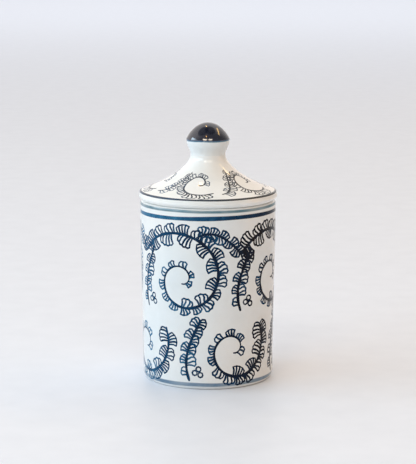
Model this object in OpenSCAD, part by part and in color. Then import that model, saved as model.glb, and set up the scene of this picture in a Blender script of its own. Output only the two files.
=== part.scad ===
// Lidded porcelain spice jar: a tall, nearly cylindrical jar on a turned foot, with
// a flared lid that drops into its mouth and is lifted by a domed knob.
// Frame: Z is the axis of the jar, and the origin is the centre of the foot.
// Millimetres.

/* [Jar] */
// Outer diameter just under the lip
jar_d = 70.2; // [66:0.2:76]
// Height from the table to the lip that the lid sits on
jar_h = 93.6; // [80:0.2:110]
// Outer diameter just above the foot, where the wall is narrowest
waist_d = 67.8; // [66:0.2:70]
// Thickness of the wall
wall = 3.4; // [2.8:0.1:4]
// Thickness of the floor
floor_t = 4; // [3:0.1:6]
// Outer diameter of the flat ring that the jar stands on
foot_d = 64.4; // [60:0.2:64.8]
// Width of the flat ring that the jar stands on
foot_w = 3.2; // [2.4:0.1:4]
// Depth of the hollow inside the foot
foot_recess = 1.8; // [1.2:0.1:2.5]
// Radius of the rounded outer edge of the lip
lip_r = 1.8; // [1:0.1:2]

/* [Lid] */
// How far the lid's rim stands out past the jar, all round
lid_overhang = 0.7; // [0:0.1:2]
// Height of the rim, from the seat to the edge of the cone
rim_h = 4.8; // [4:0.1:6]
// Height from the seat to the narrowest point of the neck
neck_h = 23.4; // [20:0.1:28]
// Diameter of the neck
neck_d = 18; // [16:0.2:20]
// Thickness of the lid
lid_wall = 3.2; // [2.6:0.1:4]
// Depth of the locating collar below the seat
collar_h = 9; // [6:0.2:14]
// Thickness of the locating collar
collar_t = 3; // [2.4:0.1:4]
// Gap all round between the collar and the mouth
collar_gap = 0.9; // [0.5:0.1:1.4]

/* [Knob] */
// Diameter of the knob at its shoulder
knob_d = 22.2; // [19:0.2:24]
// Height of the knob above the neck
knob_h = 16.4; // [15:0.2:22]
// Height of the shoulder above the neck
shoulder_h = 8; // [6:0.2:9]
// Diameter of the blind firing vent that runs up inside the knob
vent_d = 6; // [4:0.2:7]

/* [Hidden] */
$fn = 180;
steps = 14;               // straight pieces in each curve
arc_lead = 9;             // angle left between a rounded edge and the line it follows

jar_r = jar_d / 2;
waist_r = waist_d / 2;
foot_r = foot_d / 2;
mouth_r = jar_r - wall;
foot_bevel = 1.6;         // height of the turned edge between the foot and the wall
foot_curl = [0.9, 0.3];   // how that edge leaves the foot, outwards and upwards
wall_low_z = foot_bevel + 3;
lip_low_z = jar_h - lip_r;
floor_z = foot_recess + floor_t;
inner_fillet = 6;         // radius where the wall meets the floor inside
recess_chamfer = 1;       // inner edge of the foot ring
mouth_chamfer = 0.5;      // inner edge of the lip
swell = [0.4, 0.64];      // heights, as parts of the wall, between which it swells out

lid_r = jar_r + lid_overhang;
seat_z = jar_h;
rim_top_z = seat_z + rim_h;
rim_round = 2.6;          // radius of the rim's lower edge
rim_edge = 0.5;           // radius of the edge between the rim and the cone
rim_lean = 0.4;           // how far the rim leans in from its widest point up to the cone
neck_z = seat_z + neck_h;
neck_r = neck_d / 2;
cone_dip = [0.44, 0.2];   // how the cone leaves the rim, as parts of its width and height
neck_flare = 0.35;        // part of the cone's height over which it turns up into the neck
collar_r = mouth_r - collar_gap;
collar_foot = 0.8;        // chamfer that leads the collar into the mouth
hollow_r = collar_r - collar_t;
hollow_top_z = neck_z - 2 * lid_wall;
vent_r = vent_d / 2;
vent_mouth = [2, 0.4];    // width and height of the vent's flared lower end

knob_r = knob_d / 2;
shoulder_z = neck_z + shoulder_h;
top_z = neck_z + knob_h;
dome_h = top_z - shoulder_z;
dome_side = 0.06;         // part of the dome's height over which its side stays upright
dome_top = 0.66;          // part of the knob's radius over which its top stays level
stem_low = 0.25;          // part of the stem's height over which it rises straight
stem_high = 0.5;          // part of the stem's height over which it swells to the knob
vent_top_z = shoulder_z + 1;
vent_cone = 1;            // height of the vent's pointed upper end

glaze_white = [0.90, 0.92, 0.92];
cobalt = [0.07, 0.10, 0.20];
joint_step = 0.1;         // gap left between two curves that follow one another

// Points on an arc about c, from angle a0 to angle a1
function arc(c, r, a0, a1) =
    [for (i = [0:steps]) let (a = a0 + (a1 - a0) * i / steps)
        c + r * [cos(a), sin(a)]];

// Points on a cubic Bezier curve with end points p[0] and p[3]
function bezier(p) =
    [for (i = [0:steps]) let (t = i / steps, u = 1 - t)
        u * u * u * p[0] + 3 * u * u * t * p[1] + 3 * u * t * t * p[2] + t * t * t * p[3]];

// The wall's line from low_z up to high_z, moved in towards the axis by inset
function wall_line(inset, low_z, high_z) =
    bezier([[waist_r - inset, low_z],
            [waist_r - inset, low_z + swell[0] * (high_z - low_z)],
            [jar_r - inset + joint_step, low_z + swell[1] * (high_z - low_z)],
            [jar_r - inset, high_z]]);

// A flared cone, from its wide foot at start up to its narrow top at end
function cone_line(start, end) =
    let (width = start.x - end.x, height = end.y - start.y)
        bezier([start,
                start + [-cone_dip.x * width, cone_dip.y * height],
                end - [0, neck_flare * height],
                end]);

function reverse(points) = [for (i = [len(points) - 1:-1:0]) points[i]];

module turned(outline) {
    rotate_extrude() polygon(outline);
}

// Jar: foot, wall and lip in one turned piece
module jar_body() {
    outside = concat(
        bezier([[foot_r, 0],
                [foot_r, 0] + foot_curl,
                [waist_r, foot_bevel],
                [waist_r, wall_low_z]]),
        wall_line(0, wall_low_z + joint_step, lip_low_z),
        arc([jar_r - lip_r, lip_low_z], lip_r, arc_lead, 90));
    inside = concat(
        [[mouth_r + mouth_chamfer, jar_h]],
        reverse(wall_line(wall, floor_z + inner_fillet, jar_h - mouth_chamfer)),
        arc([waist_r - wall - inner_fillet, floor_z + inner_fillet],
            inner_fillet, -arc_lead, -90),
        [[0, floor_z]]);
    underside = [
        [0, foot_recess],
        [foot_r - foot_w - recess_chamfer, foot_recess],
        [foot_r - foot_w, foot_recess - recess_chamfer],
        [foot_r - foot_w, 0]];
    color(glaze_white) turned(concat(outside, inside, underside));
}

// Lid: flared cone with a rounded rim and a flat seat
module lid_cover() {
    rim_top_r = lid_r - rim_lean;
    outside = concat(
        [[vent_r, hollow_top_z + vent_mouth.y]],
        [[vent_r, neck_z]],
        reverse(cone_line([rim_top_r - rim_edge, rim_top_z], [neck_r, neck_z])),
        arc([rim_top_r - rim_edge, rim_top_z - rim_edge],
            rim_edge, 90 - arc_lead, arc_lead),
        arc([lid_r - rim_round, seat_z + rim_round], rim_round, 0, arc_lead - 90),
        [[lid_r - rim_round, seat_z]]);
    hollow = concat(
        [[hollow_r, seat_z]],
        cone_line([hollow_r, rim_top_z - lid_wall], [vent_r + vent_mouth.x, hollow_top_z]));
    color(glaze_white) turned(concat(outside, hollow));
}

// Collar: plain ring luted under the seat, which centres the lid in the mouth
module lid_collar() {
    low_z = seat_z - collar_h;
    color(glaze_white) turned([
        [hollow_r, low_z],
        [collar_r - collar_foot, low_z],
        [collar_r, low_z + collar_foot],
        [collar_r, seat_z],
        [hollow_r, seat_z]]);
}

// Knob: waisted stem and dome, luted on the neck, with a blind vent up inside it
module lid_knob() {
    stem = bezier([[neck_r, neck_z],
                   [neck_r, neck_z + stem_low * shoulder_h],
                   [knob_r, shoulder_z - stem_high * shoulder_h],
                   [knob_r, shoulder_z - joint_step]]);
    dome = bezier([[knob_r, shoulder_z],
                   [knob_r, shoulder_z + dome_side * dome_h],
                   [dome_top * knob_r, top_z],
                   [0, top_z]]);
    vent = [[0, vent_top_z], [vent_r, vent_top_z - vent_cone]];
    color(cobalt) turned(concat([[vent_r, neck_z]], stem, dome, vent));
}

jar_body();
lid_cover();
lid_collar();
lid_knob();
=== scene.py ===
"""Looks for the lidded porcelain spice jar: a jar and a loose lid in glossy white glaze,
printed with a cobalt fern scroll, and a knob dipped in dark cobalt glaze.

Lengths are in millimetres up to the point where a mesh is made, and metres after it.
Angles run round the jar from the front (-Y) towards +X.
"""

import math
import random

import bpy
import numpy as np
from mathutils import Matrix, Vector
from mathutils.geometry import delaunay_2d_cdt


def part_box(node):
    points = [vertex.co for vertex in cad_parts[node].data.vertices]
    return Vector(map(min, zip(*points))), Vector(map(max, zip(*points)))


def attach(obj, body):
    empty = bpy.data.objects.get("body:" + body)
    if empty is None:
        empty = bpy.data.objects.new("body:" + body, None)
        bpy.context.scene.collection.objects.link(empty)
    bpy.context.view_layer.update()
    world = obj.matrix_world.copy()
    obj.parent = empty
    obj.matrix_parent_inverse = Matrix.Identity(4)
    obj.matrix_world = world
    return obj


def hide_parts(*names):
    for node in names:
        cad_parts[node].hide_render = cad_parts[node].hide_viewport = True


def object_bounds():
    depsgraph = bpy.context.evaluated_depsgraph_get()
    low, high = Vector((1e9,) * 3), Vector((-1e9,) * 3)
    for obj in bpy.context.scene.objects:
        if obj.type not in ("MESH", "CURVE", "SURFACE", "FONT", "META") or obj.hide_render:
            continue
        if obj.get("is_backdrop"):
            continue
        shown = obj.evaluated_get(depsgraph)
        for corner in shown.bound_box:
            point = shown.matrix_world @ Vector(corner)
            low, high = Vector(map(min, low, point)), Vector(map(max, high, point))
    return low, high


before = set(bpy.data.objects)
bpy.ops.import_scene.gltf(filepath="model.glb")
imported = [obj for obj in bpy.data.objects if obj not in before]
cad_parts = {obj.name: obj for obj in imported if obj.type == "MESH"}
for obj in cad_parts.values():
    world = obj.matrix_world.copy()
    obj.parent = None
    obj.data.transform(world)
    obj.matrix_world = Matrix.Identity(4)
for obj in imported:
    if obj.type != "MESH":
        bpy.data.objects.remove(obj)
cad_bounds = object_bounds()

MM = 0.001
COLUMNS = 144                 # vertices in each ring of a turned piece
SEED = 7

JAR_R, JAR_H = (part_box("jar_body")[1][k] / MM for k in (0, 2))
LID_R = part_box("lid_cover")[1].x / MM
NECK_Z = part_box("lid_cover")[1].z / MM
COLLAR_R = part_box("lid_collar")[1].x / MM
COLLAR_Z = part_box("lid_collar")[0].z / MM
KNOB_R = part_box("lid_knob")[1].x / MM
KNOB_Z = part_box("lid_knob")[1].z / MM

# ---------------------------------------------------------------- camera, light and floor


def set_colours():
    """Plain display colours, so the glaze keeps its own whites and blues."""
    bpy.context.scene.view_settings.view_transform = "Standard"


def add_camera():
    """A long lens, a little above the jar and looking down at it."""
    data = bpy.data.cameras.new("camera")
    data.lens = LENS_MM
    data.sensor_width = SENSOR_MM
    camera = bpy.data.objects.new("camera", data)
    camera.location = CAMERA_PLACE
    camera.rotation_euler = (math.radians(CAMERA_TILT), 0, 0)
    bpy.context.scene.collection.objects.link(camera)
    bpy.context.scene.camera = camera


def add_light(name, place, size, power, colour, target=(0, 0, 0.07)):
    """A soft rectangular lamp at place, turned to face the target."""
    data = bpy.data.lights.new(name, "AREA")
    data.shape = "RECTANGLE"
    data.size, data.size_y = size
    data.energy = power
    data.color = colour
    lamp = bpy.data.objects.new(name, data)
    lamp.location = place
    aim = Vector(target) - Vector(place)
    lamp.rotation_euler = aim.to_track_quat("-Z", "Y").to_euler()
    bpy.context.scene.collection.objects.link(lamp)


def add_world():
    """Pale light that comes mostly from behind and above, so that the room in front, which
    the glaze mirrors, is dim. Two dimmer patches of ceiling hang overhead."""
    world = bpy.data.worlds.new("studio")
    bpy.context.scene.world = world
    world.use_nodes = True
    nodes, links = world.node_tree.nodes, world.node_tree.links
    power = world_way(nodes, links, WORLD_BRIGHT_WAY, WORLD_SPAN, WORLD_POWER)
    for way in CEILING_WAYS:
        patch = world_way(nodes, links, way, CEILING_EDGE, (1, CEILING_POWER))
        power = math_node(nodes, links, "MULTIPLY", power, patch)
    shade = nodes["Background"]
    shade.inputs["Color"].default_value = WORLD_COLOUR
    links.new(power, shade.inputs["Strength"])


def world_way(nodes, links, way, span, powers):
    """The world's power by how nearly a direction follows a way: the first of powers where
    their product is below span, and the second above it."""
    place = nodes.new("ShaderNodeTexCoord")
    facing = nodes.new("ShaderNodeVectorMath")
    facing.operation = "DOT_PRODUCT"
    facing.inputs[1].default_value = way
    links.new(place.outputs["Generated"], facing.inputs[0])
    return remap(nodes, links, facing.outputs["Value"], span, powers, smooth=True)


def add_floor():
    """A plain pale floor, large enough to have no edge in view."""
    half = FLOOR_HALF
    mesh = bpy.data.meshes.new("floor")
    corners = [(-half, -half, 0), (half, -half, 0), (half, half, 0), (-half, half, 0)]
    mesh.from_pydata(corners, [], [(0, 1, 2, 3)])
    floor = bpy.data.objects.new("floor", mesh)
    bpy.context.scene.collection.objects.link(floor)
    material, shader, nodes, links = new_material("studio_floor", 0.45)
    grain = noise(nodes, links, 60, 4)
    tint = ramp(nodes, links, grain, [(0.3, FLOOR_COLOUR), (0.7, FLOOR_COLOUR_2)])
    links.new(tint, shader.inputs["Base Color"])
    mesh.materials.append(material)
    floor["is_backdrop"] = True


LENS_MM = 142.2
SENSOR_MM = 36
CAMERA_PLACE = (0, -0.940, 0.2391)
CAMERA_TILT = 80.16           # degrees up from looking straight down
WORLD_POWER = (0.26, 1.12)    # in front and low down, and behind and overhead
WORLD_SPAN = (0.1, 0.8)       # cosines between which it goes from one to the other
WORLD_BRIGHT_WAY = (-0.3, 0.74, 0.6)
CEILING_WAYS = [(-0.32, 0.0, 0.947), (0.14, 0.0, 0.99)]
CEILING_EDGE = (0.91, 0.95)   # cosines of the angles between which the ceiling darkens
CEILING_POWER = 0.25
WORLD_COLOUR = (1.0, 0.95, 0.93, 1)
FLOOR_HALF = 30               # half of the floor's width
FLOOR_COLOUR = (0.76, 0.81, 0.89, 1)
FLOOR_COLOUR_2 = (0.79, 0.84, 0.92, 1)
# Name, place, width and height, watts, colour, and the target where it isn't the jar
LAMPS = [
    ("window", (-1.38, -0.45, 0.86), (2.2, 0.42), 18.7, (0.63, 0.84, 1.0)),
    ("room_left", (-0.5, -1.5, 1.62), (0.7, 0.28), 8.2, (1.0, 0.86, 0.70)),
    ("room_right", (0.42, -1.5, 1.62), (0.7, 0.28), 5.6, (1.0, 0.86, 0.70)),
    ("lamp_right", (1.2, -0.2, 0.4), (0.6, 0.6), 1.4, (1.0, 0.50, 0.20)),
    ("bulb_back", (-0.22, 0.79, 1.95), (0.09, 0.09), 1.3, (1.0, 0.62, 0.2)),
    ("bulb_front", (-0.25, -1.0, 1.8), (0.12, 0.12), 0.8, (1.0, 0.5, 0.12)),
    ("strip_right", (1.12, 0.56, 1.55), (1.1, 0.12), 4.0, (1.0, 0.62, 0.2)),
    ("backdrop", (0, 3.4, 2.6), (5, 2), 58, (0.88, 0.93, 1.0), (0, 5.4, 0)),
]

# ---------------------------------------------------------------- material building blocks


def new_material(name, roughness, ior=1.5):
    material = bpy.data.materials.new(name)
    material.use_nodes = True
    nodes, links = material.node_tree.nodes, material.node_tree.links
    shader = nodes["Principled BSDF"]
    shader.inputs["Roughness"].default_value = roughness
    shader.inputs["IOR"].default_value = ior
    return material, shader, nodes, links


def object_place(nodes):
    return nodes.new("ShaderNodeTexCoord").outputs["Object"]


def noise(nodes, links, scale, detail=2.0):
    """Noise on the object's own coordinates; scale is in repeats to the metre."""
    node = nodes.new("ShaderNodeTexNoise")
    node.inputs["Scale"].default_value = scale
    node.inputs["Detail"].default_value = detail
    links.new(object_place(nodes), node.inputs["Vector"])
    return node.outputs["Fac"]


def ramp(nodes, links, value, stops, smooth=False):
    node = nodes.new("ShaderNodeValToRGB")
    if smooth:
        node.color_ramp.interpolation = "EASE"
    elements = node.color_ramp.elements
    while len(elements) < len(stops):
        elements.new(0.5)
    for element, (position, colour) in zip(elements, stops):
        element.position = position
        element.color = colour
    links.new(value, node.inputs["Fac"])
    return node.outputs["Color"]


def math_node(nodes, links, operation, *values):
    node = nodes.new("ShaderNodeMath")
    node.operation = operation
    for socket, value in zip(node.inputs, values):
        if isinstance(value, (int, float)):
            socket.default_value = value
        else:
            links.new(value, socket)
    return node.outputs["Value"]


def mix_colour(nodes, links, factor, low, high, mode="MIX"):
    node = nodes.new("ShaderNodeMix")
    node.data_type = "RGBA"
    node.blend_type = mode
    for name, value in (("Factor_Float", factor), ("A_Color", low), ("B_Color", high)):
        socket = next(s for s in node.inputs if s.identifier == name)
        if isinstance(value, (int, float, tuple)):
            socket.default_value = value
        else:
            links.new(value, socket)
    return next(s for s in node.outputs if s.identifier == "Result_Color")


def height(nodes, links):
    """Height above the table, in millimetres."""
    split = nodes.new("ShaderNodeSeparateXYZ")
    links.new(object_place(nodes), split.inputs["Vector"])
    return math_node(nodes, links, "DIVIDE", split.outputs["Z"], MM)


def bump(nodes, links, shader, value, strength, distance):
    node = nodes.new("ShaderNodeBump")
    node.inputs["Strength"].default_value = strength
    node.inputs["Distance"].default_value = distance
    links.new(value, node.inputs["Height"])
    links.new(node.outputs["Normal"], shader.inputs["Normal"])


def remap(nodes, links, value, source, target=(0, 1), smooth=False):
    """A value carried from one range to another and kept inside the second."""
    node = nodes.new("ShaderNodeMapRange")
    if smooth:
        node.interpolation_type = "SMOOTHSTEP"
    node.inputs["From Min"].default_value, node.inputs["From Max"].default_value = source
    node.inputs["To Min"].default_value, node.inputs["To Max"].default_value = target
    links.new(value, node.inputs["Value"])
    return node.outputs["Result"]


# Noise scales are in repeats to the metre.
NOISE_SPAN = (0.3, 0.7)       # the part of noise's range that most of it lies in
WAVE_SCALE = 260
RIPPLE_SCALE = 1500
RIPPLE_HEIGHT = 0.12          # as a part of the wave's
PINHOLES = (170, 0.035)       # cells to the metre, and size as a part of a cell
PINHOLE_DEPTH = 0.8
GLAZE_RELIEF = 0.00012        # metres
GLOSS_SCALE = 90
GLOSS_ROUGHNESS = (0.07, 0.15)


def glaze_surface(nodes, links, shader):
    """The waviness of a fired glaze, with a few pinholes, and its uneven gloss."""
    wave = noise(nodes, links, WAVE_SCALE, 2)
    ripple = noise(nodes, links, RIPPLE_SCALE, 1)
    relief = math_node(nodes, links, "MULTIPLY_ADD", ripple, RIPPLE_HEIGHT, wave)
    holes = pits(nodes, links, *PINHOLES)
    relief = math_node(nodes, links, "MULTIPLY_ADD", holes, -PINHOLE_DEPTH, relief)
    bump(nodes, links, shader, relief, 0.35, GLAZE_RELIEF)
    gloss = noise(nodes, links, GLOSS_SCALE, 3)
    rough = remap(nodes, links, gloss, NOISE_SPAN, GLOSS_ROUGHNESS)
    links.new(rough, shader.inputs["Roughness"])


def pits(nodes, links, scale, size):
    """1 inside small round spots, one to each cell of a loose grid, and 0 elsewhere."""
    cells = nodes.new("ShaderNodeTexVoronoi")
    cells.inputs["Scale"].default_value = scale
    links.new(object_place(nodes), cells.inputs["Vector"])
    return math_node(nodes, links, "LESS_THAN", cells.outputs["Distance"], size)


# ---------------------------------------------------------------- materials

WHITE = (0.800, 0.820, 0.815, 1)
COOL_WHITE = (0.745, 0.790, 0.800, 1)
WARM_WHITE = (0.830, 0.815, 0.780, 1)
NO_TINT = (1, 1, 1, 1)
LID_TINT = (1.09, 1.08, 1.06, 1)    # the lid is a little whiter than the jar
IRON_SPECK = (0.23, 0.16, 0.11, 1)
SPECKS = (62, 0.016)          # cells to the metre, and size as a part of a cell
BISCUIT = (0.66, 0.62, 0.55, 1)
BISCUIT_WARM = (0.58, 0.48, 0.38, 1)
BISCUIT_GRIT = (0.36, 0.30, 0.24, 1)
GRIT = (420, 0.12)            # cells to the metre, and size as a part of a cell
BISCUIT_RELIEF = 0.00008      # metres

INK_IOR = 1.22                # lower than real glaze, so that a pale floor doesn't grey the ink
TEAL_WASH = (0.035, 0.170, 0.300, 1)
BLUE_INK = (0.004, 0.052, 0.125, 1)
NAVY_INK = (0.002, 0.014, 0.040, 1)
BLACK_INK = (0.005, 0.003, 0.004, 1)
PAINTED_SHADE_LEAN = 9.0                # painted shade: how much darker the ink is made for each metre towards +X, the side away from the window light


def white_glaze(name, rings=False, tint=NO_TINT):
    """Clear glaze over white porcelain: cool where it lies thick, warm where it is thin.
    With rings, thin cobalt washes run round the lip and above the foot."""
    material, shader, nodes, links = new_material(name, 0.1)
    cloud = ramp(nodes, links, noise(nodes, links, 22, 4),
                 [(0.32, COOL_WHITE), (0.5, WHITE), (0.72, WARM_WHITE)])
    shade = remap(nodes, links, noise(nodes, links, 190, 3), (0, 1), (0.96, 1.04))
    tone = mix_colour(nodes, links, 1.0, cloud, shade, "MULTIPLY")
    tone = mix_colour(nodes, links, 1.0, tone, tint, "MULTIPLY")
    specks = pits(nodes, links, *SPECKS)
    sparse = math_node(nodes, links, "GREATER_THAN", noise(nodes, links, 35, 1), 0.47)
    specks = math_node(nodes, links, "MULTIPLY", specks, sparse)
    tone = mix_colour(nodes, links, specks, tone, IRON_SPECK)
    if rings:
        for wash in RING_WASHES:
            tone = mix_colour(nodes, links, ring_mask(nodes, links, *wash[:3]), tone, wash[3])
    links.new(tone, shader.inputs["Base Color"])
    glaze_surface(nodes, links, shader)
    return material


def ring_mask(nodes, links, low, high, strength):
    """A soft-edged ring between two heights in millimetres, on the outside of the jar only."""
    wander = noise(nodes, links, 35, 1)
    level = math_node(nodes, links, "MULTIPLY_ADD", wander, RING_WANDER, height(nodes, links))
    middle = (low + high) / 2 + RING_WANDER / 2
    level = math_node(nodes, links, "SUBTRACT", level, middle)
    level = math_node(nodes, links, "ABSOLUTE", level)
    half = (high - low) / 2
    edge = remap(nodes, links, level, (half + RING_SOFT, half - RING_SOFT), smooth=True)
    grain = remap(nodes, links, noise(nodes, links, 110, 3), NOISE_SPAN,
                  (strength * RING_GRAIN, strength))
    flat = nodes.new("ShaderNodeVectorMath")
    flat.operation = "MULTIPLY"
    flat.inputs[1].default_value = (1, 1, 0)
    links.new(object_place(nodes), flat.inputs[0])
    radius = nodes.new("ShaderNodeVectorMath")
    radius.operation = "LENGTH"
    links.new(flat.outputs["Vector"], radius.inputs[0])
    outside = math_node(nodes, links, "GREATER_THAN", radius.outputs["Value"], IN_WALL_R * MM)
    mask = math_node(nodes, links, "MULTIPLY", edge, grain)
    return math_node(nodes, links, "MULTIPLY", mask, outside)


RING_SOFT = 0.28              # half the width of a ring's blurred edge
RING_WANDER = 0.7             # how far a ring strays up and down
RING_GRAIN = 0.75             # its faintest places, as a part of its full strength
IN_WALL_R = 32.4              # a radius inside the thickness of the wall, above the foot
LIP_WASH = (0.060, 0.165, 0.215, 1)
FOOT_WASH = (0.022, 0.120, 0.230, 1)
# Lower and upper edge, strength and colour of each ring
RING_WASHES = [(91.5, 92.9, 1.0, LIP_WASH), (1.7, 3.7, 0.88, FOOT_WASH)]


def cobalt_print(name, veil=0.0):
    """Cobalt under the same glaze. The face attribute "ink" says how heavy each stroke is, and
    veil how much of the white shows through. The ink is also made darker towards +X, as painted
    shade."""
    material, shader, nodes, links = new_material(name, 0.1, INK_IOR)
    heavy = nodes.new("ShaderNodeAttribute")
    heavy.attribute_name = "ink"
    blotch = noise(nodes, links, 230, 3)
    drift = noise(nodes, links, 30, 1)
    weight = math_node(nodes, links, "MULTIPLY_ADD", blotch, 0.55, heavy.outputs["Fac"])
    weight = math_node(nodes, links, "MULTIPLY_ADD", drift, 0.45, weight)
    split = nodes.new("ShaderNodeSeparateXYZ")
    links.new(object_place(nodes), split.inputs["Vector"])
    # painted shade: the ink is darkened towards +X, the side away from the cool window light
    weight = math_node(nodes, links, "MULTIPLY_ADD", split.outputs["X"], PAINTED_SHADE_LEAN, weight)
    weight = math_node(nodes, links, "SUBTRACT", weight, 0.5)
    tone = ramp(nodes, links, weight, [(0.0, TEAL_WASH), (0.32, BLUE_INK),
                                       (0.62, NAVY_INK), (0.95, BLACK_INK)])
    tone = mix_colour(nodes, links, veil, tone, COOL_WHITE)
    links.new(tone, shader.inputs["Base Color"])
    glaze_surface(nodes, links, shader)
    return material


def biscuit(name):
    """Bare fired porcelain where the glaze was wiped off, matt and a little toasted."""
    material, shader, nodes, links = new_material(name, 0.75)
    tone = ramp(nodes, links, noise(nodes, links, 45, 4),
                [(0.35, BISCUIT), (0.75, BISCUIT_WARM)])
    tone = mix_colour(nodes, links, pits(nodes, links, *GRIT), tone, BISCUIT_GRIT)
    links.new(tone, shader.inputs["Base Color"])
    bump(nodes, links, shader, noise(nodes, links, 2600, 4), 0.5, BISCUIT_RELIEF)
    return material


KNOB_IOR = 1.85               # higher than real glaze, so that the knob mirrors like dark glass
TINT_RISE = 4                 # height up the stem over which the lid's tint gives way to white
DIP_DEPTH = 1.6               # height over which the cobalt darkens
DIP_EDGE = (-0.14, 0.1)       # where the cobalt starts, below and above its edge
DIP_STOPS = [(0.0, (0.06, 0.25, 0.36, 1)), (0.28, (0.018, 0.075, 0.15, 1)),
             (0.62, (0.010, 0.022, 0.052, 1)), (1.0, (0.006, 0.009, 0.022, 1))]


def knob_glaze(name, edge_z):
    """White glaze up to edge_z, then cobalt that is bright at its thin edge and dark above."""
    material, shader, nodes, links = new_material(name, 0.08, KNOB_IOR)
    wander = noise(nodes, links, 120, 2)
    level = math_node(nodes, links, "MULTIPLY_ADD", wander, 0.9, height(nodes, links))
    level = math_node(nodes, links, "SUBTRACT", level, edge_z)
    white = ramp(nodes, links, noise(nodes, links, 40, 3),
                 [(0.4, COOL_WHITE), (0.9, WHITE)])
    rise = remap(nodes, links, height(nodes, links), (NECK_Z, NECK_Z + TINT_RISE))
    tint = mix_colour(nodes, links, rise, LID_TINT, NO_TINT)
    white = mix_colour(nodes, links, 1.0, white, tint, "MULTIPLY")
    dip = ramp(nodes, links, remap(nodes, links, level, (0, DIP_DEPTH)), DIP_STOPS)
    tone = mix_colour(nodes, links, remap(nodes, links, level, DIP_EDGE), white, dip)
    links.new(tone, shader.inputs["Base Color"])
    glaze_surface(nodes, links, shader)
    return material


# ---------------------------------------------------------------- outlines, as (radius, height)


def arc(centre, radius, start, end, steps=8):
    angles = [math.radians(start + (end - start) * i / steps) for i in range(steps + 1)]
    return [(centre[0] + radius * math.cos(a), centre[1] + radius * math.sin(a))
            for a in angles]


def bezier(p0, p1, p2, p3, steps):
    points = []
    for i in range(steps + 1):
        t = i / steps
        w = ((1 - t) ** 3, 3 * t * (1 - t) ** 2, 3 * t * t * (1 - t), t ** 3)
        points.append(tuple(sum(a * b for a, b in zip(w, axis)) for axis in zip(p0, p1, p2, p3)))
    return points


def joined(*runs):
    """One outline from runs of points, with repeated points left out."""
    points = []
    for run in runs:
        for p in run:
            if not points or math.dist(points[-1], p) > 0.01:
                points.append(p)
    return points


FOOT_R = JAR_R - 2.9
WAIST_R = JAR_R - 1.2         # radius of the wall just above the foot
FOOT_W = 3.2
WALL = 3.4
LIP_R = 1.8
FLOOR_Z = 5.8
RECESS_Z = 1.8
WALL_LOW_Z = 4.6
FILLET = 6.0                  # between the wall and the floor, inside
RIDGE = 0.05                  # height of the throwing ridges inside the wall
RIDGE_RATE = 1.9              # radians of a ridge's wave to each millimetre of height


def wall_line(inset, low_z, high_z, steps):
    """The jar's wall from waist to lip, moved in towards the axis by inset."""
    rise = high_z - low_z
    return bezier((WAIST_R - inset, low_z), (WAIST_R - inset, low_z + 0.4 * rise),
                  (JAR_R - inset + 0.1, low_z + 0.64 * rise), (JAR_R - inset, high_z), steps)


def jar_outline():
    """From the middle of the underside, round the foot, up the wall, over the lip and down
    inside to the middle of the floor, as three runs: under, outside and inside."""
    foot_in = FOOT_R - FOOT_W
    under = joined(
        [(0, RECESS_Z + 0.25), (6, RECESS_Z + 0.22), (12, RECESS_Z + 0.16), (18, RECESS_Z + 0.08),
         (24, RECESS_Z)],
        arc((foot_in - 1.2, RECESS_Z - 1.2), 1.2, 90, 0, 5),
        arc((foot_in + 0.35, 0.35), 0.35, 180, 270, 4),
        arc((FOOT_R - 0.4, 0.3), 0.3, 270, 330, 3))
    outside = joined(
        bezier((FOOT_R - 0.08, 0.2), (FOOT_R + 0.85, 0.45), (WAIST_R, 1.8),
               (WAIST_R, WALL_LOW_Z), 8),
        wall_line(0, WALL_LOW_Z, JAR_H - LIP_R, 34),
        arc((JAR_R - LIP_R, JAR_H - LIP_R), LIP_R, 0, 90, 9))
    mouth_r = JAR_R - WALL
    throwing = [(r + RIDGE * math.sin(RIDGE_RATE * z), z) for r, z in
                wall_line(WALL, FLOOR_Z + FILLET, JAR_H - 1.2, 60)[::-1]]
    inside = joined(
        arc((mouth_r + 0.6, JAR_H - 0.6), 0.6, 90, 170, 5),
        throwing,
        arc((WAIST_R - WALL - FILLET, FLOOR_Z + FILLET), FILLET, -4, -90, 8),
        [(r, FLOOR_Z + 0.12 * math.cos(r * 0.8) - 0.12) for r in (*range(21, 1, -2), 1.5)],
        [(0, FLOOR_Z)])
    return under, outside, inside


RIM_H = 4.8
RIM_ROUND = 2.6
RIM_EDGE = 0.5
RIM_LEAN = 0.4
NECK_R = 9.0
VENT_R = 3.0
COLLAR_T = 3.0
LID_WALL = 3.2
CREASE = 0.02                 # the edges where the knob is luted to the neck, kept too fine to see


def cone_line(start, end, steps):
    """A flared cone, from its wide foot at start up to its narrow top at end."""
    width, rise = start[0] - end[0], end[1] - start[1]
    return bezier(start, (start[0] - 0.44 * width, start[1] + 0.2 * rise),
                  (end[0], end[1] - 0.35 * rise), end, steps)


def lid_outline():
    """From the top of the vent down through the hollow to the seat, and then the outside
    from the seat round the rim and up the cone to the neck."""
    seat_z = JAR_H
    top_z = seat_z + RIM_H
    edge_r = LID_R - RIM_LEAN - RIM_EDGE
    hollow_r = COLLAR_R - COLLAR_T
    hollow_top = NECK_Z - 2 * LID_WALL
    under = joined(
        [(VENT_R, NECK_Z), (VENT_R, hollow_top + 3)],
        arc((VENT_R + 1.2, hollow_top + 1.2), 1.2, 180, 270, 5),
        cone_line((hollow_r - 0.3, top_z - LID_WALL + 0.1), (VENT_R + 2, hollow_top), 18)[::-1],
        [(hollow_r, top_z - LID_WALL - 0.1), (hollow_r, seat_z)])
    outside = joined(
        arc((LID_R - RIM_ROUND, seat_z + RIM_ROUND), RIM_ROUND, -90, 0, 12),
        arc((edge_r, top_z - RIM_EDGE), RIM_EDGE, 10, 80, 6),
        cone_line((edge_r, top_z), (NECK_R, NECK_Z - 2 * CREASE), 30),
        [(NECK_R, NECK_Z - CREASE), (NECK_R - CREASE, NECK_Z), (NECK_R - 0.25, NECK_Z)])
    return under, outside


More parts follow.
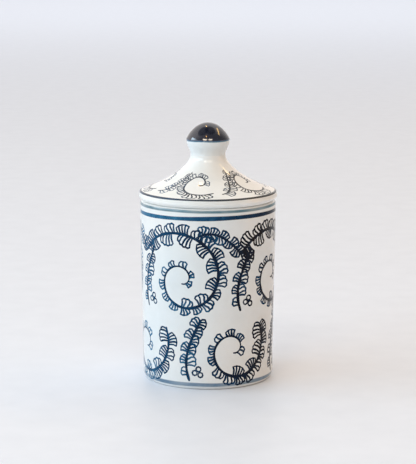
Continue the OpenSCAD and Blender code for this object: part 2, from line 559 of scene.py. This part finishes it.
def collar_outline():
    """Anticlockwise round the collar's section."""
    foot, inner = COLLAR_Z, COLLAR_R - COLLAR_T
    return joined(
        [(inner, JAR_H), (inner, JAR_H - 3), (inner, foot + 3)],
        arc((inner + 0.7, foot + 0.7), 0.7, 180, 270, 6),
        arc((COLLAR_R - 0.9, foot + 0.9), 0.9, -90, 0, 7),
        [(COLLAR_R, foot + 4), (COLLAR_R, JAR_H - 3)],
        arc((COLLAR_R - 0.25, JAR_H - 0.25), 0.25, 0, 90, 3))


SHOULDER_Z = NECK_Z + 8
GLAZE_ROLL = 0.10             # how far the dipped glaze stands out at its lower edge
GLAZE_EDGE_Z = SHOULDER_Z - 0.35


def knob_outline():
    """From the top of the vent down to the neck, and then up the stem and over the dome."""
    dome_h = KNOB_Z - SHOULDER_Z
    stem = bezier((NECK_R, NECK_Z + 2 * CREASE), (NECK_R, NECK_Z + 2),
                  (KNOB_R, SHOULDER_Z - 4), (KNOB_R, SHOULDER_Z - 0.1), 22)
    dome = bezier((KNOB_R, SHOULDER_Z), (KNOB_R, SHOULDER_Z + 0.06 * dome_h),
                  (0.66 * KNOB_R, KNOB_Z), (0, KNOB_Z), 40)
    skin = [(r + GLAZE_ROLL * math.exp(-((z - GLAZE_EDGE_Z - 0.25) / 0.35) ** 2), z)
            for r, z in stem + dome[:-1]]
    return joined(
        [(0, SHOULDER_Z + 1), (VENT_R * 0.5, SHOULDER_Z + 0.7), (VENT_R, SHOULDER_Z),
         (VENT_R, NECK_Z + 4), (VENT_R, NECK_Z), (NECK_R - 0.25, NECK_Z),
         (NECK_R - CREASE, NECK_Z), (NECK_R, NECK_Z + CREASE)],
        skin, [(0, KNOB_Z)])


# ---------------------------------------------------------------- strokes of the print

STEP = 1.0                    # distance between the points of a stem
LEAF_STEP = 1.5               # and between those of a leaf's lines
WALL_MM = 34.8                # radius at which the print's width is measured
BULGE = 0.2                   # how far a scallop bulges, as a part of its chord


def curve(points, step=STEP):
    """Points at an even step along a smooth curve through the given ones."""
    before = tuple(2 * a - b for a, b in zip(points[0], points[1]))
    after = tuple(2 * a - b for a, b in zip(points[-1], points[-2]))
    ends = [before, *points, after]
    dense = [points[0]]
    for four in zip(ends, ends[1:], ends[2:], ends[3:]):
        for k in range(1, 13):
            t = k / 12
            dense.append(tuple(
                0.5 * (2 * b + (c - a) * t + (2 * a - 5 * b + 4 * c - d) * t * t
                       + (3 * b - a - 3 * c + d) * t ** 3)
                for a, b, c, d in zip(*four)))
    reach = [0.0]
    for a, b in zip(dense, dense[1:]):
        reach.append(reach[-1] + math.dist(a, b))
    count = max(2, round(reach[-1] / step) + 1)
    line, k = [], 0
    for i in range(count):
        s = reach[-1] * i / (count - 1)
        while k < len(reach) - 2 and reach[k + 1] < s:
            k += 1
        f = (s - reach[k]) / max(1e-9, reach[k + 1] - reach[k])
        line.append(tuple(a + (b - a) * f for a, b in zip(dense[k], dense[k + 1])))
    return line


def nearest(line, point):
    """The number of the line's point that is nearest to a given one."""
    return min(range(len(line)), key=lambda i: math.dist(line[i], point))


def scallop(a, b, away_from):
    """A short arc from a to b that bulges away from a point."""
    chord = math.dist(a, b)
    side = ((a[1] - b[1]) / chord, (b[0] - a[0]) / chord)
    middle = ((a[0] + b[0]) / 2, (a[1] + b[1]) / 2)
    if sum((m - q) * s for m, q, s in zip(middle, away_from, side)) < 0:
        side = (-side[0], -side[1])
    crest = tuple(m + s * chord * BULGE for m, s in zip(middle, side))
    return curve([a, crest, b], LEAF_STEP)


def swerve(line, t):
    """How far a line strays, at part t of its length, from the straight way between its ends."""
    at = line[round(t * (len(line) - 1))]
    return tuple(p - (a + (b - a) * t) for p, a, b in zip(at, line[0], line[-1]))


def leaf(stem, leading, rim, trailing):
    """A leaf on a stem: two edges, a scalloped rim between them, and a rib from each notch
    of the rim, whose curve lies between those of the two edges."""
    first, last = nearest(stem, leading[0]), nearest(stem, trailing[-1])
    front = curve([stem[first], *leading[1:]], LEAF_STEP)
    back = curve([*trailing[:-1], stem[last]], LEAF_STEP)[::-1]
    lines = [front, back]
    heart = stem[(first + last) // 2]
    lines += [scallop(a, b, heart) for a, b in zip(rim, rim[1:])]
    spans = len(rim) - 1
    for k in range(1, spans):
        f = k / spans
        foot = stem[round(first + (last - first) * f)]
        rib = []
        for t in (0, 0.25, 0.5, 0.75, 1):
            bend = [p * (1 - f) + q * f for p, q in zip(swerve(front, t), swerve(back, t))]
            rib.append(tuple(a + (b - a) * t + c for a, b, c in zip(foot, rim[k], bend)))
        lines.append(curve(rib, LEAF_STEP))
    return lines


PRESS = 0.08                  # how much broader the strokes are on the right than in front
UNEVEN = 0.13                 # how much a stroke swells and thins along its length
TIP = 0.8                     # width of a stroke's two ends, as a part of the rest
LOBE_SIZES = (3.4, 5)         # a leaf longer than each of these has one more lobe
LEAF_FADE = 0.3               # how much heavier a stem's last leaf is inked than its first
FAN_SPREAD = (-24, 62)        # angles of a leaf's two corners, leaning forward from upright
FAN_WIDTH = 0.8               # width of a leaf's foot, as a part of how far it stands out


def fan(line, start, width, reach, side, lobes):
    """The edges and rim of a fan-shaped leaf whose foot starts at a point of a stem. It
    stands out to the left of the stem where side is 1, and to the right where it is -1."""
    first, last = line[start], line[start + width]
    run = math.dist(first, last)
    ahead = tuple((b - a) / run for a, b in zip(first, last))
    out = (-ahead[1] * side, ahead[0] * side)
    heart = tuple((a + b) / 2 for a, b in zip(first, last))

    def spot(origin, forward, outward):
        return tuple(p + forward * a + outward * o for p, a, o in zip(origin, ahead, out))

    rim = []
    for k in range(lobes + 1):
        angle = math.radians(FAN_SPREAD[0] + (FAN_SPREAD[1] - FAN_SPREAD[0]) * k / lobes)
        rim.append(spot(heart, reach * math.sin(angle), reach * math.cos(angle)))
    leading = [first, spot(first, reach * 0.1, reach * 0.5), rim[0]]
    trailing = [rim[-1], spot(last, reach * 0.3, reach * 0.1), last]
    return leading, rim, trailing


class Print:
    """The strokes of one print, as four-cornered patches and how heavy the ink is on each.
    place turns a point of the drawing into an angle and a distance along the outline."""

    def __init__(self, seed, place):
        self.place = place
        self.patches = []
        self.weights = []
        self.random = random.Random(seed)

    def stroke(self, line, width, weight, taper=0):
        """Lays a stroke along a line. It starts thin where taper says over how many points."""
        rand = self.random
        phase, rate = rand.uniform(0, 6.28), rand.uniform(0.5, 1.1)
        weight += rand.uniform(-0.06, 0.06)
        edges = []
        for i, p in enumerate(line):
            a, b = line[max(0, i - 1)], line[min(len(line) - 1, i + 1)]
            run = max(1e-6, math.dist(a, b))
            half = width / 2 * (1 + UNEVEN * math.sin(phase + rate * i))
            half *= 1 + PRESS * math.sin(p[0] / WALL_MM)
            if taper:
                half *= min(1, 0.5 + 0.5 * i / taper)
            if i in (0, len(line) - 1):
                half *= TIP
            side = ((a[1] - b[1]) / run * half, (b[0] - a[0]) / run * half)
            edges.append(((p[0] + side[0], p[1] + side[1]), (p[0] - side[0], p[1] - side[1])))
        for (a, b), (c, d) in zip(edges, edges[1:]):
            self.patch((a, b, d, c), weight)
        for here, back in ((0, 1), (-1, -2)):
            self.cap(edges[here], line[here], line[back], weight)

    def cap(self, edge, end, inner, weight):
        """A rounded tip beyond the end of a stroke."""
        run = max(1e-6, math.dist(end, inner))
        reach = math.dist(*edge) * 0.42
        out = tuple((e - i) / run * reach for e, i in zip(end, inner))
        tips = [tuple(end[k] + (e[k] - end[k]) * 0.55 + out[k] for k in (0, 1)) for e in edge]
        self.patch((edge[0], edge[1], tips[1], tips[0]), weight)

    def patch(self, corners, weight):
        self.patches.append([self.place(corner) for corner in corners])
        self.weights.append(weight)

    def fringe(self, line, start, side, sizes, gap):
        """Fan-shaped leaves one after another along a side of a stem, from the first to the
        last of sizes. start and gap count points of the stem."""
        at = start
        while True:
            share = at / len(line)
            reach = (sizes[0] + (sizes[1] - sizes[0]) * share) * self.random.uniform(0.88, 1.12)
            width = max(2, round(reach * FAN_WIDTH))
            if at + width >= len(line):
                return
            lobes = 2 + sum(reach > size for size in LOBE_SIZES)
            yield share, fan(line, at, width, reach, side, lobes)
            at += width + gap + self.random.randint(0, 1)

    def draw(self, stem, fringes=(), at=(0, 0), wide=1.52, thin=1.02, ink=(0.6, 0.43), taper=0):
        """A stem with its fringes of leaves, moved to a place on the print."""
        line = curve([(x + at[0], y + at[1]) for x, y in stem])
        self.stroke(line, wide, ink[0], taper)
        for fringe in fringes:
            for share, parts in self.fringe(line, *fringe):
                weight = ink[1] + LEAF_FADE * (share - 0.5) + self.random.uniform(-0.08, 0.08)
                for edge in leaf(line, *parts):
                    self.stroke(edge, thin, weight)

    def band(self, low, high, weight, wander, lean=0.0):
        """A band right round, between two distances along the outline."""
        a, b = self.random.uniform(0, 6.28), self.random.uniform(0, 6.28)
        count = 180
        rings = []
        for i in range(count):
            turn = 2 * math.pi * i / count
            drift = lean * math.sin(turn) + wander * math.sin(2 * turn + a)
            ripple = 0.5 * wander * math.sin(7 * turn + b)
            swell = 1 + 0.08 * math.sin(3 * turn + a)
            middle, half = (low + high) / 2 + drift, (high - low) / 2 * swell
            rings.append(((turn, middle - half + ripple), (turn, middle + half - ripple)))
        for (a, b), (c, d) in zip(rings, rings[1:] + rings[:1]):
            self.patches.append([a, b, d, c])
            self.weights.append(weight)


# ---------------------------------------------------------------- the scroll on the jar
# A generic fern scroll, worked out from the sizes below. Millimetres: distance round the
# wall from the front, and height. A fringe of leaves is the point of the stem that it starts
# at, its side, its first and last size, and the gap between its leaves.

REPEATS = 4
REPEAT_U = 2 * math.pi * WALL_MM / REPEATS
SPIRAL_RADII = (2, 27)
SPIRAL_SWEEP = 600            # degrees that a whole spiral turns through
SPIRAL_GROWTH = 1.4           # above 1, the turns of a spiral lie further apart as it opens
SPIRAL_FRINGES = [(2, -1, (3.0, 5.6), 2), (46, 1, (4.0, 5.6), 6)]
TAPER = 50                    # points over which a spiral's stem swells to its full width
# Where the first spiral of each row is centred, and how much of a whole spiral is drawn.
# The lower row is set half a repeat along from the upper one.
ROWS = [((-REPEAT_U / 4, 57), 1.0), ((REPEAT_U / 4, 21), 0.8)]
# Control points from the middle of a spiral: a sprig beside it, and a crown that joins it
# to the next one in the upper row
SPRIG = [(31, -16), (27, -5), (31, 3), (37, 15)]
SPRIG_FRINGES = [(3, 1, (3.4, 4.2), 3), (8, -1, (5.0, 3.6), 2)]
CROWN = [(8, 22), (15, 26), (22, 24), (31, 13)]
CROWN_FRINGES = [(2, 1, (4.0, 3.4), 2), (5, -1, (4.2, 3.6), 2)]
BERRIES = [(34, -12), (36, -10), (37, -13)]
BERRY_R = 1.3
RING_HEIGHTS = (87.6, 89.65)  # lower and upper edge of the ring above the scroll
RING_INK = 0.34


def spiral(radii, sweep, growth, part=1.0, steps=30):
    """A spiral round the origin that starts straight below it and opens anticlockwise."""
    points = []
    for i in range(steps + 1):
        t = part * i / steps
        r = radii[0] + (radii[1] - radii[0]) * t ** growth
        angle = math.radians(sweep * t - 90)
        points.append((r * math.cos(angle), r * math.sin(angle)))
    return points


def jar_print(outline):
    """Two rows of spirals with sprigs and berries between them, and a ring above."""
    heights = [z for _, z in outline.points]

    def place(point):
        return point[0] / WALL_MM, float(np.interp(point[1], heights, outline.reach))

    art = Print(SEED, place)
    for k in range(REPEATS):
        for (u, v), part in ROWS:
            at = (u + k * REPEAT_U, v)
            stem = spiral(SPIRAL_RADII, SPIRAL_SWEEP, SPIRAL_GROWTH, part)
            art.draw(stem, SPIRAL_FRINGES, at, taper=TAPER)
            art.draw(bezier(*SPRIG, 10), SPRIG_FRINGES, at)
            for berry in BERRIES:
                art.draw(arc(berry, BERRY_R, 0, 360), (), at, wide=0.9)
            if part == 1:
                art.draw(bezier(*CROWN, 10), CROWN_FRINGES, at, wide=1.1)
    low, high = (place((0, z))[1] for z in RING_HEIGHTS)
    art.band(low, high, RING_INK, wander=0.12, lean=0.45)
    return art


# ---------------------------------------------------------------- the sprays on the lid
# Millimetres: distance round the cone, measured where its radius is CONE_MM, and distance
# up its slope from the rim line.

CONE_MM = 24
LID_REPEATS = 5
LID_REPEAT_U = 2 * math.pi * CONE_MM / LID_REPEATS
LID_RADII = (1.2, 11.0)
LID_SWEEP = 400
LID_GROWTH = 1.1
LID_CENTRE = (-5.0, 14.5)
LID_CURL_FRINGES = [(3, -1, (2.6, 4.4), 1)]
LID_SPRIG = [(6.0, 5.0), (12.0, 7.0), (11.0, 14.0), (16.0, 23.0)]
LID_SPRIG_FRINGES = [(1, -1, (3.6, 3.0), 1), (4, 1, (2.8, 2.6), 2)]
LID_WIDE = 0.92
LID_INK = (0.75, 0.62)        # of the stems and of the leaves
LID_VEIL = 0.08
RIM_LINE = (5.6, 6.95)        # along the lid's outline, over the edge between rim and cone
RIM_INK = 0.75


def lid_print():
    """Curls with sprigs between them round the cone, and a line along its edge."""

    def place(point):
        return point[0] / CONE_MM, RIM_LINE[1] + point[1]

    art = Print(SEED + 1, place)
    for k in range(LID_REPEATS):
        turn = k * LID_REPEAT_U
        at = (LID_CENTRE[0] + turn, LID_CENTRE[1])
        art.draw(spiral(LID_RADII, LID_SWEEP, LID_GROWTH), LID_CURL_FRINGES, at,
                 wide=LID_WIDE, thin=0.66, ink=LID_INK)
        art.draw(bezier(*LID_SPRIG, 8), LID_SPRIG_FRINGES, (turn, 0),
                 wide=LID_WIDE, thin=0.62, ink=LID_INK)
    art.band(*RIM_LINE, RIM_INK, wander=0.08)
    return art


# ---------------------------------------------------------------- turned shells


class Outline:
    """A line of (radius, height) points, with the distance along it to each."""

    def __init__(self, points):
        self.points = points
        self.reach = [0.0]
        for a, b in zip(points, points[1:]):
            self.reach.append(self.reach[-1] + math.dist(a, b))


def section_normals(profile, closed):
    """The outward normal at each point of a section that runs anticlockwise."""
    count = len(profile)
    normals = []
    for i in range(count):
        if closed:
            a, b = profile[i - 1], profile[(i + 1) % count]
        else:
            a, b = profile[max(0, i - 1)], profile[min(count - 1, i + 1)]
        run = max(1e-9, math.dist(a, b))
        normals.append(((b[1] - a[1]) / run, (a[0] - b[0]) / run))
    return normals


def anticlockwise(corners):
    """Corners in order round their middle, so that no patch is folded over or turned about."""
    middle = sum(corners, Vector((0, 0))) / len(corners)
    return sorted(corners, key=lambda p: math.atan2(p.y - middle.y, p.x - middle.x))


class Shell:
    """A turned closed mesh, ring by ring, part of whose outside may carry a print."""

    def __init__(self, profile, closed=False):
        self.profile = profile
        self.closed = closed
        self.section = section_normals(profile, closed)
        self.verts, self.normals = [], []
        self.faces, self.slots, self.ink = [], [], []

    def vertex(self, turn, spot, normal):
        """Adds a vertex at an angle round the axis, in metres, and returns its number."""
        s, c = math.sin(turn), math.cos(turn)
        self.verts.append((spot[0] * s * MM, -spot[0] * c * MM, spot[1] * MM))
        self.normals.append(Vector((normal[0] * s, -normal[0] * c, normal[1])).normalized())
        return len(self.verts) - 1

    def ring(self, i):
        spot, normal = self.profile[i], self.section[i]
        if spot[0] == 0:
            return [self.vertex(0, spot, (0, math.copysign(1, normal[1])))] * COLUMNS
        return [self.vertex(2 * math.pi * k / COLUMNS, spot, normal) for k in range(COLUMNS)]

    def join(self, low, high, slot):
        """Faces between two rings; a ring at the axis gives triangles."""
        for k in range(COLUMNS):
            n = (k + 1) % COLUMNS
            corners = list(dict.fromkeys((low[k], low[n], high[n], high[k])))
            self.faces.append(corners)
            self.slots.append(slot)
            self.ink.append(0.0)

    def build(self, bare, first=0, last=0, art=None, inward=False):
        """Makes every ring and face. The surface from point first to point last carries art.
        bare says which parts of the section are left unglazed."""
        count = len(self.profile)
        rings = {}
        if art:
            rings[first], rings[last] = self.printed(first, last, art, inward)
        for i in range(count):
            if i not in rings and not (art and first < i < last):
                rings[i] = self.ring(i)
        for i in range(count if self.closed else count - 1):
            if art and first <= i < last:
                continue
            n = (i + 1) % count
            middle = [(p + q) / 2 for p, q in zip(self.profile[i], self.profile[n])]
            self.join(rings[i], rings[n], BARE if bare(*middle) else GLAZE)

    def printed(self, first, last, art, inward):
        """The printed surface, triangulated on a flat disc where distance from the middle is
        distance along the outline. Returns its first and last ring of vertices."""
        outline = Outline(self.profile[first:last + 1])
        length = outline.reach[-1]
        hole = DISC_HOLE_LID if inward else DISC_HOLE_JAR

        def flat(turn, v):
            rho = hole + (length - v if inward else v)
            return Vector((rho * math.cos(turn), rho * math.sin(turn)))

        points, edges, patches = [], [], []
        for i, v in enumerate(outline.reach):
            for k in range(COLUMNS):
                here = i * COLUMNS + k
                points.append(flat(2 * math.pi * k / COLUMNS, v))
                edges.append((here, i * COLUMNS + (k + 1) % COLUMNS))
                if i:
                    edges.append((here - COLUMNS, here))
        for patch in art.patches:
            corners = anticlockwise([flat(*corner) for corner in patch])
            patches.append(list(range(len(points), len(points) + len(patch))))
            points.extend(corners)
        out = delaunay_2d_cdt(points, edges, patches, 0, 1e-5, True)
        flat_points, _, faces, sources, _, covers = out

        reach, radii, heights = outline.reach, *zip(*outline.points)
        across, along = zip(*self.section[first:last + 1])
        numbers, found = [], {}
        for i, p in enumerate(flat_points):
            rho = p.length - hole
            v = length - rho if inward else rho
            spot = (np.interp(v, reach, radii), np.interp(v, reach, heights))
            normal = (np.interp(v, reach, across), np.interp(v, reach, along))
            numbers.append(self.vertex(math.atan2(p.y, p.x), spot, normal))
            for source in sources[i]:
                found[source] = i
        ends = (len(reach) - 1) * COLUMNS
        inner = {found[k + (ends if inward else 0)] for k in range(COLUMNS)}
        for face, cover in zip(faces, covers):
            if all(i in inner for i in face):
                continue
            corners = [numbers[i] for i in face]
            self.faces.append(corners if inward else corners[::-1])
            self.slots.append(INK if cover else GLAZE)
            self.ink.append(max((art.weights[c] for c in cover), default=0.0))
        return ([numbers[found[k]] for k in range(COLUMNS)],
                [numbers[found[k + ends]] for k in range(COLUMNS)])

    def piece(self, name, body, node, materials):
        """The finished object, riding on its body in place of its CAD node."""
        mesh = bpy.data.meshes.new(name)
        mesh.from_pydata(self.verts, [], self.faces)
        for material in materials:
            mesh.materials.append(material)
        mesh.polygons.foreach_set("material_index", self.slots)
        mesh.polygons.foreach_set("use_smooth", [True] * len(self.faces))
        layer = mesh.attributes.new("ink", "FLOAT", "FACE")
        layer.data.foreach_set("value", self.ink)
        mesh.normals_split_custom_set_from_vertices(self.normals)
        mesh.update()
        thing = bpy.data.objects.new(name, mesh)
        bpy.context.scene.collection.objects.link(thing)
        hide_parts(node)
        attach(thing, body)
        return thing


GLAZE, INK, BARE = 0, 1, 2    # places of the materials in a piece's list
# Radii of the hole in the middle of the disc that a print is triangulated on
DISC_HOLE_JAR = 40
DISC_HOLE_LID = 9

# ---------------------------------------------------------------- the four pieces


def no_bare(r, z):
    """For the pieces that are glazed all over."""
    return False


def make_jar():
    """Foot, wall, lip and inside in one shell, with the scroll on the wall."""
    under, outside, inside = jar_outline()
    shell = Shell(joined(under, outside, inside))
    first = len(joined(under, outside[:1])) - 1
    last = len(joined(under, outside)) - 1
    art = jar_print(Outline(shell.profile[first:last + 1]))
    shell.build(lambda r, z: z < 0.3 and r > FOOT_R - FOOT_W - 0.1, first, last, art)
    shell.piece("jar_shell", "jar", "jar_body",
                [white_glaze("jar_glaze", rings=True), cobalt_print("jar_print"), foot_bare])


def make_lid():
    """The cone with its rim and hollow, and the sprays on the cone."""
    under, outside = lid_outline()
    profile = joined(under, outside)
    shell = Shell(profile, closed=True)
    first, last = len(under), len(profile) - 1
    shell.build(no_bare, first, last, lid_print(), inward=True)
    shell.piece("lid_shell", "lid", "lid_cover",
                [white_glaze("lid_glaze", tint=LID_TINT), cobalt_print("lid_print", LID_VEIL)])


def make_collar():
    """The plain ring under the lid, with a bare lower edge."""
    shell = Shell(collar_outline(), closed=True)
    shell.build(lambda r, z: z < COLLAR_Z + 0.3)
    shell.piece("collar_ring", "lid", "lid_collar",
                [white_glaze("collar_glaze"), foot_bare, foot_bare])


def make_knob():
    """Stem and dome in one shell, with the vent up inside it."""
    shell = Shell(knob_outline())
    shell.build(no_bare)
    shell.piece("knob_dome", "lid", "lid_knob",
                [knob_glaze("knob_dip", GLAZE_EDGE_Z)])


foot_bare = biscuit("bare_porcelain")
make_jar()
make_lid()
make_collar()
make_knob()

add_floor()
add_world()
for lamp in LAMPS:
    add_light(*lamp)
add_camera()
set_colours()

boxes = {"cad": cad_bounds, "visual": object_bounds()}
{name: [list(corner) for corner in box] for name, box in boxes.items()}
